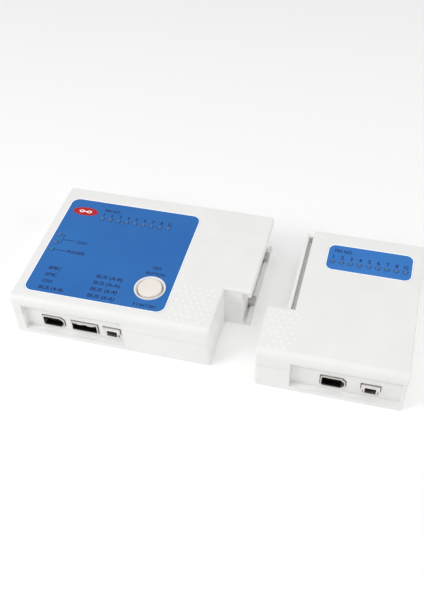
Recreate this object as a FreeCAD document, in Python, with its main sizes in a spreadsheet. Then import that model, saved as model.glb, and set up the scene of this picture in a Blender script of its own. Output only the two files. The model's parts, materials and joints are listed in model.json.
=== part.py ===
"""A two-unit network cable tester: a master unit and a remote unit that dock side by side.

Millimetres, +Z up.  X runs from the master unit to the remote unit, and Y from the front
faces to the back faces.  Each unit is designed in its own axes, from its body's left, front
and bottom faces, and the unit's placement then sets it in the object's frame, whose origin is
at the middle of the space that both units take on the table.
"""
import FreeCAD, Part
import Sketcher
import math
import os
import re

doc = FreeCAD.newDocument("cable_tester")
sheet = doc.addObject("Spreadsheet::Sheet", "Dims")

# ---------------------------------------------------------------- driving dimensions, mm
DIMENSIONS = {
    # both cases
    "case_depth": 82.0, "case_height": 23.5, "case_wall": 2.0, "parting": 14.2,
    "parting_gap": 0.04, "edge_round": 0.8, "front_round": 3.5, "corner_round": 1.4,
    "tongue_inset": 0.9, "tongue_height": 1.3, "rebate_inset": 0.8, "rebate_height": 1.5,
    "tool_clear": 5.0,
    # master unit plan
    "body_right": 97.0, "dock_wall": 106.0, "lip_right": 110.0, "notch_depth": 28.1,
    # dock channel along the master's right side
    "lip_thickness": 1.8, "lip_drop": 3.6, "lip_flange": 1.8, "dock_corner_round": 0.6,
    "lip_back_round": 1.6,
    "sill_right": 109.4, "sill_left": 107.4, "sill_top": 3.0, "sill_floor": 1.6,
    "catch_height": 3.0, "catch_round": 1.4, "catch_fit": 0.2, "catch_relief": 0.5,
    # remote unit plan and dock rail
    "remote_width": 54.0, "tab_left": -12.8, "tab_depth": 27.9,
    "rail_left": -3.7, "rail_right": -2.2, "rail_low": 3.4, "rail_drop": 2.2,
    "web_low": 4.5, "web_drop": 7.5, "rail_back": 81.5,
    "groove_end": 0.8, "groove_end_drop": 4.0,
    # where the remote unit stands, from its docked place
    "apart_right": 21.5, "apart_forward": 5.2,
    # front recesses
    "recess_depth": 3.0, "recess_back": 5.0, "recess_low": 2.6, "recess_high": 18.7,
    "recess_left": 5.1, "recess_right": 55.3, "remote_recess_left": 3.3, "remote_recess_right": 52.0,
    "recess_side": 1.6,
    # labels
    "label_pocket": 0.3, "label_thickness": 0.4, "label_fit": 0.15,
    "label_left": 4.35, "label_front": 6.25, "label_right": 73.85, "label_back": 74.05,
    "label_round": 4.35,
    "small_label_left": 8.65, "small_label_front": 56.45, "small_label_right": 49.45,
    "small_label_round": 3.65,
    # circuit boards, their screws and what stands on them
    "board_left": 3.0, "board_right": 65.0, "board_front": 5.5, "board_back": 79.5,
    "ear_right": 71.5, "ear_front": 9.0, "ear_back": 26.2,
    "small_board_left": 2.6, "small_board_right": 50.9,
    "board_bottom": 3.4, "board_top": 5.0, "post_radius": 3.0, "board_hole": 1.3,
    "board_screw_radius": 1.1, "board_screw_low": 0.8, "board_head_radius": 2.2, "board_head": 1.4,
    "board_cross": 2.4, "board_cross_width": 0.5, "board_cross_depth": 0.8,
    "resistor_radius": 1.15, "resistor_length": 6.3, "resistor_gap": 0.05, "resistor_pitch": 3.2,
    "resistor_left": 20.0,
    # case screws and their bosses
    "boss_radius": 3.9, "upper_boss_radius": 3.2, "boss_split": 10.0, "boss_clear": 4.3,
    "case_screw_radius": 1.45,
    "case_screw_head": 2.7, "case_head_low": 5.0, "case_head_top": 7.0, "case_screw_top": 18.0,
    "case_screw_tip": 1.5, "head_bore": 2.85, "shank_bore": 1.6, "pilot_fit": 0.02,
    "case_cross": 3.0, "case_cross_width": 0.7, "case_cross_depth": 1.0,
    # indicator lamps
    "lamp_pitch": 4.4, "lamp_row": 61.4, "lamp_radius": 1.15, "lamp_hole": 1.25, "lamp_proud": 1.0,
    "lamp_body": 4.3, "lamp_flange": 1.0, "lamp_flange_radius": 1.5, "lamp_first": 24.5,
    "small_lamp_pitch": 4.31, "small_lamp_row": 62.1, "small_lamp_first": 11.75,
    "side_lamp_column": 7.7, "spacer_radius": 1.9, "spacer_bore": 1.35,
    "lead_offset": 0.8, "lead_size": 0.4,
    # test button and its switch
    "button_across": 63.2, "button_along": 20.1, "button_radius": 5.7, "button_hole": 6.2,
    "collar_radius": 7.5, "collar_rise": 0.6, "collar_round": 0.25, "dish_radius": 6.9,
    "dish_depth": 1.0, "button_proud": 1.0,
    "button_flange_radius": 7.3,
    "button_flange": 1.0, "button_stem": 2.6, "button_play": 0.3, "button_round": 0.7,
    "switch_width": 12.0, "switch_height": 3.6, "plunger_radius": 3.4, "plunger_bore": 3.475,
    "plunger_low": 7.0, "plunger_top": 9.6, "well_floor": 5.6, "button_collar_fit": 0.1,
    "dimple_radius": 1.0, "dimple_depth": 0.3,
    # battery, its compartment and its door
    "battery_left": 68.15, "battery_front": 31.2, "battery_width": 26.5, "battery_length": 48.5,
    "battery_height": 17.5, "battery_low": 2.3, "battery_round": 2.0,
    "stud_offset": 6.35, "stud_length": 2.1, "stud_inside": 0.5, "small_stud": 2.8, "large_stud": 3.8,
    "stud_fit": 0.1, "snap_width": 25.0, "snap_height": 11.0, "snap_fit": 0.1,
    "bay_left": 67.6, "bay_right": 95.2, "bay_front": 27.6, "bay_roof": 20.1, "bay_wall": 1.7,
    "bay_front_wall": 1.2, "bay_back": 79.85, "nook_right": 94.1, "nook_wall": 0.8, "nook_back": 31.0,
    "door_left": 68.4, "door_right": 94.4, "door_front": 29.0, "door_thickness": 2.0,
    "door_rail": 1.2, "door_rail_low": 1.3, "door_gap": 0.3, "door_ledge": 1.0,
    "grip_inset": 7.0, "grip_back": 7.0, "grip_pitch": 2.0, "grip_width": 1.0, "engraving": 0.4,
    "arrow_back": 63.5, "arrow_length": 6.0, "arrow_reach": 4.5,
    # connectors
    "socket_mouth": 2.3, "socket_fit": 0.4, "shell_wall": 0.4,
    "insert_fit": 0.05, "insert_block": 3.0, "tongue_setback": 2.0,
    "six_width": 11.0, "six_height": 6.4, "six_point": 1.7, "six_nick": 0.6, "six_depth": 13.0,
    "six_tongue_width": 6.2, "six_tongue_low": 2.1, "six_tongue_high": 4.2,
    "four_width": 8.2, "four_height": 5.6, "four_step": 2.2, "four_foot": 6.2, "four_depth": 11.0,
    "four_mouth_width": 5.0, "four_mouth_height": 3.4,
    "four_tongue_width": 3.4, "four_tongue_low": 1.5, "four_tongue_high": 2.6,
    "usb_width": 13.2, "usb_height": 5.9, "usb_depth": 14.0,
    "usb_tongue_width": 11.0, "usb_tongue_low": 3.1, "usb_tongue_high": 4.9,
    "square_width": 12.0, "square_height": 10.8, "square_cut": 1.8, "square_depth": 16.0,
    "square_tongue_width": 5.6, "square_tongue_low": 3.8, "square_tongue_high": 7.0,
    "jack_width": 15.9, "jack_height": 13.4, "jack_depth": 15.0, "jack_mouth": 11.8,
    "jack_mouth_low": 4.6, "jack_mouth_high": 11.6, "jack_cavity": 12.5,
    "latch_width": 6.0, "latch_low": 2.9, "key_width": 3.3, "key_low": 1.6,
    "contact_pitch": 1.27, "contact_width": 0.45, "contact_thick": 0.3, "contact_length": 8.0,
    "contact_back": 11.8, "contact_low": 9.6,
}
for row, (alias, value) in enumerate(DIMENSIONS.items(), start=1):
    sheet.set(f"A{row}", alias)
    sheet.set(f"B{row}", str(value))
    sheet.setAlias(f"B{row}", alias)
doc.recompute()

MASTER_BOSSES = [(7.5, 11.0), (7.5, 74.5), (91.5, 8.0), (100.4, 74.5)]
REMOTE_BOSSES = [(-6.3, 8.0), (47.3, 11.0), (6.0, 54.6), (48.0, 54.6)]
MASTER_POSTS = [(14.0, 24.0), (56.0, 37.0), (14.0, 68.0), (57.0, 72.0)]
REMOTE_POSTS = [(8.0, 22.0), (44.0, 24.0), (14.0, 46.0), (38.0, 46.0)]
SIDE_LAMPS = {"coax_lamps": (45.4, 40.0), "power_lamp": (34.8,)}
LAMPS_IN_ROW = 9
MASTER_SOCKETS = {"six": 19.2, "usb": 34.9, "four": 48.6}
REMOTE_SOCKETS = {"six": 22.3, "four": 38.9}
MASTER_JACK = 40.0
REMOTE_BACK_ROW = {"usb": 11.2, "square": 26.0, "jack": 42.2}
CATCH_SPANS = [(38.3, 43.3), (70.0, 75.0)]
DOOR_GRIPS = 5

UNIT_X = {"master": "0 - (lip_right + apart_right + remote_width) / 2",
          "remote": "(lip_right + apart_right + remote_width) / 2 - remote_width"}
UNIT_Y = {"master": "(apart_forward - case_depth) / 2",
          "remote": "0 - (apart_forward + case_depth) / 2"}

NODES = []
WORD = re.compile(r"[a-z]\w*")


# ---------------------------------------------------------------- small modelling helpers
def formula(text):
    """A formula written with the sheet's own names, as an expression that the document reads."""
    return WORD.sub(lambda word: "Dims." + word.group(0), str(text))


def bind(obj, **sizes):
    """Binds properties to formulas; Base_x stands for .Placement.Base.x."""
    for name, text in sizes.items():
        path = ".Placement.Base." + name[-1] if name.startswith("Base_") else name
        obj.setExpression(path, formula(text))
    return obj


def box(name, x_span, y_span, z_span):
    """A box between pairs of formulas."""
    solid = doc.addObject("Part::Box", name)
    (x0, x1), (y0, y1), (z0, z1) = x_span, y_span, z_span
    return bind(solid, Length=f"({x1}) - ({x0})", Width=f"({y1}) - ({y0})",
                Height=f"({z1}) - ({z0})", Base_x=x0, Base_y=y0, Base_z=z0)


def rod(name, x, y, z_span, radius):
    """An upright cylinder."""
    solid = doc.addObject("Part::Cylinder", name)
    low, high = z_span
    return bind(solid, Radius=radius, Height=f"({high}) - ({low})", Base_x=x, Base_y=y, Base_z=low)


def rod_along(name, axis, x, y, z, length, radius):
    """A cylinder that lies along X or Y."""
    solid = doc.addObject("Part::Cylinder", name)
    turn_axis = {"x": FreeCAD.Vector(0, 1, 0), "y": FreeCAD.Vector(-1, 0, 0)}[axis]
    solid.Placement.Rotation = FreeCAD.Rotation(turn_axis, 90)
    return bind(solid, Radius=radius, Height=length, Base_x=x, Base_y=y, Base_z=z)


def fuse(name, *solids):
    joined = doc.addObject("Part::MultiFuse", name)
    joined.Shapes = list(solids)
    joined.Refine = True
    return joined


def cut(name, base, *tools):
    result = doc.addObject("Part::Cut", name)
    result.Base = base
    result.Tool = tools[0] if len(tools) == 1 else fuse(name + "_tools", *tools)
    result.Refine = True
    return result


def keep_within(name, solid, region):
    result = doc.addObject("Part::MultiCommon", name)
    result.Shapes = [solid, region]
    return result


def group(name, solids):
    """Separate identical solids that share one node."""
    compound = doc.addObject("Part::Compound", name)
    compound.Links = solids
    return compound


def round_edges(name, solid, radius_of):
    """Fillets each edge for which radius_of(edge) gives a radius."""
    doc.recompute()
    rounded = doc.addObject("Part::Fillet", name)
    rounded.Base = solid
    radii = [(number, radius_of(edge)) for number, edge in enumerate(solid.Shape.Edges, start=1)]
    rounded.Edges = [(number, radius, radius) for number, radius in radii if radius]
    return rounded


def size(alias):
    return float(sheet.get(alias))


def is_upright(edge):
    first, last = edge.Vertexes[0].Point, edge.Vertexes[-1].Point
    return abs(first.x - last.x) < 1e-6 and abs(first.y - last.y) < 1e-6


def lies_at(edge, axis, value):
    return all(abs(getattr(vertex.Point, axis) - value) < 1e-6 for vertex in edge.Vertexes)


def node(obj, name, unit, x="0", y="0", z="0", turn=0):
    """Names a finished sub-part and sets it in the object's frame."""
    obj.Label = name
    obj.Placement.Rotation = FreeCAD.Rotation(FreeCAD.Vector(0, 0, 1), turn)
    bind(obj, Base_x=f"{UNIT_X[unit]} + {x}", Base_y=f"{UNIT_Y[unit]} + {y}", Base_z=z)
    NODES.append(obj)
    return obj


# ---------------------------------------------------------------- sketched pieces
def sketched_body(name, plane_role, points):
    """A body with one closed sketch of straight lines, each corner bound to a pair of formulas."""
    body = doc.addObject("PartDesign::Body", name)
    sketch = body.newObject("Sketcher::SketchObject", name + "_sketch")
    plane = next(item for item in body.Origin.OriginFeatures if item.Role == plane_role)
    sketch.AttachmentSupport = [(plane, "")]
    sketch.MapMode = "FlatFace"
    count = len(points)
    # the corners start on a circle, in order, and their distances then set them in place
    turns = [2 * math.pi * index / count for index in range(count)]
    starts = [FreeCAD.Vector(20 + 10 * math.cos(turn), 20 + 10 * math.sin(turn), 0) for turn in turns]
    for index, start in enumerate(starts):
        sketch.addGeometry(Part.LineSegment(start, starts[(index + 1) % count]), False)
    for index in range(count):
        sketch.addConstraint(Sketcher.Constraint("Coincident", index, 2, (index + 1) % count, 1))
    for index, (across, up) in enumerate(points):
        for kind, text, start in (("DistanceX", across, starts[index].x),
                                  ("DistanceY", up, starts[index].y)):
            number = sketch.addConstraint(Sketcher.Constraint(kind, -1, 1, index, 1, start))
            sketch.setExpression(f"Constraints[{number}]", formula(text))
    return body, sketch


def padded(name, plane_role, points, length):
    """A sketch padded by half the length to each side of its plane."""
    body, sketch = sketched_body(name, plane_role, points)
    pad = body.newObject("PartDesign::Pad", name + "_pad")
    pad.Profile = sketch
    pad.Midplane = True
    pad.setExpression("Length", formula(length))
    body.Tip = pad
    return body


def turned(name, points):
    """A profile of (radius, height) pairs turned about the upright axis."""
    body, sketch = sketched_body(name, "XZ_Plane", points)
    revolution = body.newObject("PartDesign::Revolution", name + "_turn")
    revolution.Profile = sketch
    revolution.ReferenceAxis = (sketch, ["V_Axis"])
    revolution.Angle = 360
    body.Tip = revolution
    return body


# ---------------------------------------------------------------- the two cases
def plan_boxes(name, unit, inset, z_span):
    """The unit's L-shaped plan as two boxes, moved in from its outline by an inset."""
    long_span = (inset, f"case_depth - ({inset})")
    if unit == "master":
        main = box(name + "_main", (inset, f"body_right - ({inset})"), long_span, z_span)
        wing = box(name + "_wing", (f"body_right - ({inset}) - 1", f"dock_wall - ({inset})"),
                   (f"notch_depth + ({inset})", f"case_depth - ({inset})"), z_span)
    else:
        main = box(name + "_main", (inset, f"remote_width - ({inset})"), long_span, z_span)
        wing = box(name + "_wing", (f"tab_left + ({inset})", f"1 + ({inset})"),
                   (inset, f"tab_depth - ({inset})"), z_span)
    return [main, wing]


def dock_lip():
    """The lip that overhangs the dock channel, with the flange that hangs from its edge."""
    along = ("notch_depth", "case_depth")
    return [box("lip", ("dock_wall - 2 * dock_corner_round", "lip_right"), along,
                ("case_height - lip_thickness", "case_height")),
            box("lip_flange_bar", ("lip_right - lip_flange", "lip_right"), along,
                ("case_height - lip_drop", "case_height"))]


def dock_sill():
    """The grooved sill along the foot of the dock channel."""
    sill = box("sill", ("dock_wall - 1", "sill_right"), ("notch_depth", "case_depth"), ("0", "sill_top"))
    groove = box("sill_groove", ("dock_wall", "sill_left"), ("notch_depth - 1", "case_depth + 1"),
                 ("sill_floor", "sill_top + 1"))
    return cut("grooved_sill", sill, groove)


def dock_rail():
    """The remote's rail, which hangs on a web beyond a groove, with room for the catches."""
    along = ("tab_depth - 1", "rail_back")
    across = ("rail_right - 0.5", "1")
    web = box("rail_web", across, along, ("web_low", "case_height - web_drop"))
    end = box("rail_groove_end", across, ("rail_back - groove_end", "rail_back"),
              ("web_low", "case_height - groove_end_drop"))
    rail = box("rail_bar", ("rail_left", "rail_right"), along, ("rail_low", "case_height - rail_drop"))
    reliefs = [box(f"catch_relief_{number}", ("rail_left - 1", "0 - catch_fit"),
                   (f"{low} - catch_relief", f"{high} + catch_relief"),
                   ("rail_low - 1", "sill_top + catch_height + 2 * catch_relief"))
               for number, (low, high) in enumerate(CATCH_SPANS)]
    return cut("notched_rail", fuse("rail", web, end, rail), *reliefs)


def case_form(unit):
    """The outer form of a closed case, with its edges rounded."""
    block = fuse(unit + "_block", *plan_boxes(unit + "_block", unit, "0", ("0", "case_height")))
    if unit == "master":
        wing = round_edges("rounded_wing", block,
                           lambda edge: size("dock_corner_round") if is_upright(edge)
                           and lies_at(edge, "x", size("dock_wall"))
                           and lies_at(edge, "y", size("notch_depth")) else None)
        block = fuse("lipped_block", wing, *dock_lip())
    top, back = size("case_height"), size("case_depth")
    sides = ((0.0, size("body_right")) if unit == "master"
             else (size("tab_left"), 0.0, size("remote_width")))

    def radius_of(edge):
        if lies_at(edge, "z", top):
            return size("front_round") if lies_at(edge, "y", 0.0) else size("edge_round")
        if is_upright(edge):
            at_side = any(lies_at(edge, "x", side) for side in sides)
            if at_side and (lies_at(edge, "y", 0.0) or lies_at(edge, "y", back)):
                return size("corner_round")
            if lies_at(edge, "x", size("lip_right")) and lies_at(edge, "y", back):
                return size("lip_back_round")
        return None

    rounded = round_edges(unit + "_rounded", block, radius_of)
    return fuse(unit + "_form", rounded, dock_sill() if unit == "master" else dock_rail())


def recess_span(unit):
    return {"master": ("recess_left", "recess_right"),
            "remote": ("remote_recess_left", "remote_recess_right")}[unit]


def recess_block(unit, half, z_span):
    """The wall behind the front recess, thicker than the case wall around it."""
    left, right = recess_span(unit)
    return box(f"{unit}_{half}_recess_block", (f"{left} - recess_side", f"{right} + recess_side"),
               ("1", "recess_back"), z_span)


def front_windows(unit, half):
    """The recess in the front face and the windows that the front sockets look out of."""
    sockets = MASTER_SOCKETS if unit == "master" else REMOTE_SOCKETS
    left, right = recess_span(unit)
    tools = [box(f"{unit}_{half}_recess", (left, right), ("0 - 1", "recess_depth"),
                 ("recess_low", "recess_high"))]
    for kind, across in sockets.items():
        window = padded(f"{unit}_{half}_{kind}_window", "XZ_Plane", OUTLINES[kind]("socket_fit"), "6")
        tools.append(bind(window, Base_x=across, Base_y="recess_depth + 1", Base_z="board_top"))
    return tools


def back_windows(unit, half):
    """The windows in the back wall for the connectors that face backwards."""
    row = {"jack": MASTER_JACK} if unit == "master" else REMOTE_BACK_ROW
    tools = []
    for kind, across in row.items():
        window = padded(f"{unit}_{half}_{kind}_back_window", "XZ_Plane",
                        OUTLINES[kind]("socket_fit"), "case_wall + 2")
        tools.append(bind(window, Base_x=across, Base_y="case_depth - case_wall / 2",
                          Base_z="board_top"))
    return tools


def bosses(unit):
    return MASTER_BOSSES if unit == "master" else REMOTE_BOSSES


def lamp_places(unit):
    """Where the indicator lamps stand: the row, and on the master unit a column at its left."""
    size_of = "" if unit == "master" else "small_"
    places = {unit + "_line_lamps": [(f"{size_of}lamp_first + {number} * {size_of}lamp_pitch",
                                      size_of + "lamp_row") for number in range(LAMPS_IN_ROW)]}
    if unit == "master":
        for name, rows in SIDE_LAMPS.items():
            places[name] = [("side_lamp_column", str(along)) for along in rows]
    return places


def label_span(unit, grow):
    """The label's outline as spans in X and Y, grown by a formula."""
    if unit == "master":
        return ((f"label_left - ({grow})", f"label_right + ({grow})"),
                (f"label_front - ({grow})", f"label_back + ({grow})"))
    return ((f"small_label_left - ({grow})", f"small_label_right + ({grow})"),
            (f"small_label_front - ({grow})", f"label_back + ({grow})"))


def label_plate(unit, name, grow, z_span):
    """A label-shaped plate with rounded corners."""
    plate = box(name + "_plate", *label_span(unit, grow), z_span)
    corner = size("label_round" if unit == "master" else "small_label_round")
    return round_edges(name, plate, lambda edge: corner if is_upright(edge) else None)


def around_plan():
    """Spans in X and Y that reach past either unit's plan."""
    return [("tab_left - tool_clear", "lip_right + tool_clear"),
            ("0 - tool_clear", "case_depth + tool_clear")]


def top_cover(unit, form):
    inner_top = "case_height - case_wall"
    cavity = plan_boxes(unit + "_upper_cavity", unit, "case_wall", ("case_wall", inner_top))
    upper = box(unit + "_upper_region", *around_plan(),
                ("parting + parting_gap", "case_height + tool_clear"))
    rebate = plan_boxes(unit + "_rebate", unit, "rebate_inset", ("parting - 1", "parting + rebate_height"))
    pocket = label_plate(unit, unit + "_pocket", "label_fit",
                         ("case_height - label_pocket", "case_height + 1"))
    skin = cut(unit + "_upper_skin", keep_within(unit + "_upper", form, upper),
               *cavity, *rebate, pocket)
    added = [recess_block(unit, "upper", ("parting + parting_gap", "recess_high + case_wall"))]
    removed = front_windows(unit, "upper") + back_windows(unit, "upper")
    for number, (across, along) in enumerate(bosses(unit)):
        added.append(rod(f"{unit}_upper_boss_{number}", across, along,
                         ("boss_split", inner_top + " + 0.5"), "upper_boss_radius"))
        removed.append(rod(f"{unit}_pilot_{number}", across, along,
                           ("boss_split - 1", "case_screw_top + 0.5"),
                           "case_screw_radius + pilot_fit"))
    for name, places in lamp_places(unit).items():
        for number, (across, along) in enumerate(places):
            removed.append(rod(f"{name}_hole_{number}", across, along,
                               (inner_top + " - 1", "case_height + 1"), "lamp_hole"))
    if unit == "master":
        added.append(rod("button_collar", "button_across", "button_along",
                         (inner_top, "case_height + collar_rise"), "collar_radius"))
        removed.append(rod("button_bore", "button_across", "button_along",
                           (inner_top + " - 1", "case_height + 2"), "button_hole"))
        removed.append(button_dish())
    cover = cut(unit + "_upper_cover", fuse(unit + "_upper_solid", skin, *added), *removed)
    if unit == "master":
        rim = size("case_height") + size("collar_rise")
        cover = round_edges("soft_collar_cover", cover,
                            lambda edge: size("collar_round") if lies_at(edge, "z", rim) else None)
    return node(cover, unit + "_top_cover", unit)


def tongue(unit):
    """The thin wall that stands up from the bottom cover inside the top cover's edge."""
    z_span = ("parting - 1", "parting + tongue_height")
    ring = fuse(unit + "_tongue_block", *plan_boxes(unit + "_tongue_out", unit, "tongue_inset", z_span))
    middle = plan_boxes(unit + "_tongue_in", unit, "case_wall", ("parting - 2", "parting + 3"))
    left, right = recess_span(unit)
    front_gap = box(unit + "_tongue_gap", (f"{left} - recess_side - 0.1", f"{right} + recess_side + 0.1"),
                    ("0", "recess_back + 0.1"), ("parting - parting_gap", "parting + 3"))
    return cut(unit + "_tongue", ring, front_gap, *middle)


def battery_bay():
    """The walls round the battery, with a narrower nook in front for the snap, and their hollow.

    The bay is open below to the door and behind to the case wall.
    """
    height, hollow = ("1", "bay_roof + bay_front_wall"), ("case_wall", "bay_roof")
    outside = [box("bay_outside", ("bay_left - bay_wall", "bay_right + bay_wall"),
                   ("nook_back - nook_wall", "bay_back"), height),
               box("nook_outside", ("bay_left - bay_wall", "nook_right + nook_wall"),
                   ("bay_front - bay_front_wall", "nook_back"), height)]
    inside = [box("bay_inside", ("bay_left", "bay_right"), ("nook_back", "case_depth - case_wall"), hollow),
              box("nook_inside", ("bay_left", "nook_right"), ("bay_front", "nook_back + 1"), hollow)]
    return outside, inside


def door_slots():
    """The opening in the floor that the door closes, and the grooves that its edges slide in."""
    opening = box("door_opening", ("door_left - door_gap", "door_right + door_gap"),
                  ("door_front - door_gap", "case_depth + 1"), ("0 - 1", "door_thickness + door_gap"))
    grooves = box("door_grooves",
                  ("door_left - door_rail - door_gap", "door_right + door_rail + door_gap"),
                  ("door_front - door_gap", "case_depth + 1"),
                  ("door_ledge", "door_thickness + door_gap"))
    return [opening, grooves]


def bottom_cover(unit, form):
    cavity = plan_boxes(unit + "_lower_cavity", unit, "case_wall", ("case_wall", "case_height"))
    lower = box(unit + "_lower_region", *around_plan(), ("0 - 1", "parting - parting_gap"))
    skin = cut(unit + "_lower_skin", keep_within(unit + "_lower", form, lower), *cavity)
    added = [tongue(unit), recess_block(unit, "lower", ("1", "parting - parting_gap"))]
    removed = front_windows(unit, "lower") + back_windows(unit, "lower")
    for number, (across, along) in enumerate(bosses(unit)):
        added.append(rod(f"{unit}_lower_boss_{number}", across, along,
                         ("1", "boss_split - parting_gap"), "boss_radius"))
        removed.append(rod(f"{unit}_head_bore_{number}", across, along,
                           ("0 - 1", "case_head_top"), "head_bore"))
        removed.append(rod(f"{unit}_shank_bore_{number}", across, along,
                           ("1", "boss_split + 1"), "shank_bore"))
    for number, (across, along) in enumerate(MASTER_POSTS if unit == "master" else REMOTE_POSTS):
        added.append(rod(f"{unit}_post_{number}", across, along, ("1", "board_bottom"), "post_radius"))
        removed.append(rod(f"{unit}_post_bore_{number}", across, along,
                           ("board_screw_low - 0.2", "board_bottom + 1"),
                           "board_screw_radius + pilot_fit"))
    if unit == "master":
        bay_walls, bay_hollow = battery_bay()
        added += bay_walls
        removed += bay_hollow + door_slots() + [button_relief()]
    cover = cut(unit + "_lower_cover", fuse(unit + "_lower_solid", skin, *added), *removed)
    return node(cover, unit + "_bottom_cover", unit)


def button_dish():
    """The slope inside the collar that leads down to the button's bore."""
    dish = doc.addObject("Part::Cone", "button_dish")
    return bind(dish, Radius1="button_hole", Radius2="dish_radius", Height="dish_depth + collar_rise",
                Base_x="button_across", Base_y="button_along", Base_z="case_height - dish_depth")


def button_relief():
    """Room for the button's flange beside the corner of the battery bay."""
    return rod("button_relief", "button_across", "button_along",
               ("case_height - case_wall - 3", "case_height"), "button_flange_radius + 0.5")


def label(unit):
    plate = label_plate(unit, unit + "_label_film", "0",
                        ("case_height - label_pocket", "case_height - label_pocket + label_thickness"))
    holes = []
    for name, places in lamp_places(unit).items():
        for number, (across, along) in enumerate(places):
            holes.append(rod(f"{name}_label_hole_{number}", across, along,
                             ("case_height - 1", "case_height + 1"), "lamp_hole"))
    if unit == "master":
        holes.append(rod("button_label_hole", "button_across", "button_along",
                         ("case_height - 1", "case_height + 1"), "collar_radius + button_collar_fit"))
    return node(cut(unit + "_label_cut", plate, *holes), unit + "_label", unit)


# ---------------------------------------------------------------- fasteners
def cross_slots(name, reach, width, z_span):
    """The two slots of a cross recess in a screw's head."""
    long_way, thin_way = (f"0 - {reach} / 2", f"{reach} / 2"), (f"0 - {width} / 2", f"{width} / 2")
    return [box(name + "_slot_x", long_way, thin_way, z_span),
            box(name + "_slot_y", thin_way, long_way, z_span)]


def case_screw(name, across, along):
    """A pan-head tapping screw that enters from below, with a cross recess in its head."""
    screw = turned(name + "_turned", [
        ("0", "case_head_low"), ("case_screw_head", "case_head_low"), ("case_screw_head", "case_head_top"),
        ("case_screw_radius", "case_head_top"), ("case_screw_radius", "case_screw_top - case_screw_tip"),
        ("0", "case_screw_top")])
    slots = cross_slots(name, "case_cross", "case_cross_width",
                        ("case_head_low - 1", "case_head_low + case_cross_depth"))
    return bind(cut(name, screw, *slots), Base_x=across, Base_y=along)


def board_screw(name, across, along):
    """A small pan-head screw through the circuit board into its post."""
    head_top = "board_top + board_head"
    screw = turned(name + "_turned", [
        ("0", "board_screw_low"), ("board_screw_radius", "board_screw_low + 0.6"),
        ("board_screw_radius", "board_top"), ("board_head_radius", "board_top"),
        ("board_head_radius", head_top + " - 0.4"), ("board_head_radius - 0.5", head_top), ("0", head_top)])
    slots = cross_slots(name, "board_cross", "board_cross_width",
                        (head_top + " - board_cross_depth", head_top + " + 1"))
    return bind(cut(name, screw, *slots), Base_x=across, Base_y=along)


def screws(unit):
    case_set = [case_screw(f"{unit}_case_screw_{number}", *place)
                for number, place in enumerate(bosses(unit))]
    board_set = [board_screw(f"{unit}_board_screw_{number}", *place)
                 for number, place in enumerate(MASTER_POSTS if unit == "master" else REMOTE_POSTS)]
    node(group(unit + "_case_screw_set", case_set), unit + "_case_screws", unit)
    node(group(unit + "_board_screw_set", board_set), unit + "_board_screws", unit)


# ---------------------------------------------------------------- circuit boards and what they carry
def board(unit):
    if unit == "master":
        main = box("master_board_main", ("board_left", "board_right"), ("board_front", "board_back"),
                   ("board_bottom", "board_top"))
        ear = box("master_board_ear", ("board_right - 1", "ear_right"), ("ear_front", "ear_back"),
                  ("board_bottom", "board_top"))
        blank = fuse("master_board_blank", main, ear)
        posts = MASTER_POSTS
    else:
        blank = box("remote_board_blank", ("small_board_left", "small_board_right"),
                    ("board_front", "board_back"), ("board_bottom", "board_top"))
        posts = REMOTE_POSTS
    through = ("board_bottom - 1", "board_top + 1")
    holes = [rod(f"{unit}_board_boss_gap_{number}", across, along, through, "boss_clear")
             for number, (across, along) in enumerate(bosses(unit))]
    holes += [rod(f"{unit}_board_hole_{number}", across, along, through, "board_hole")
              for number, (across, along) in enumerate(posts)]
    return node(cut(unit + "_board_cut", blank, *holes), unit + "_board", unit)


def resistors(unit, first_along, count):
    """A column of axial resistors that lie on the board."""
    bodies = [rod_along(f"{unit}_resistor_{number}", "x", "resistor_left",
                        f"{first_along} + {number} * resistor_pitch",
                        "board_top + resistor_radius + resistor_gap", "resistor_length", "resistor_radius")
              for number in range(count)]
    return node(group(unit + "_resistor_set", bodies), unit + "_resistors", unit)


def controller_chip():
    """An eighteen-pin controller that stands on two rows of legs."""
    left, front, pitch, legs = 29.0, 42.0, 2.54, 9
    body = box("chip_body", (left, left + 23.0), (front, front + 6.4),
               ("board_top + 0.5", "board_top + 3.9"))
    rows = []
    for number in range(legs):
        across = left + 1.34 + number * pitch
        for side, along in (("front", front - 0.6), ("back", front + 6.1)):
            rows.append(box(f"chip_leg_{side}_{number}", (across - 0.25, across + 0.25),
                            (along, along + 0.9), ("board_top", "board_top + 2.2")))
    return node(fuse("chip_solid", body, *rows), "controller_chip", "master")


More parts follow.
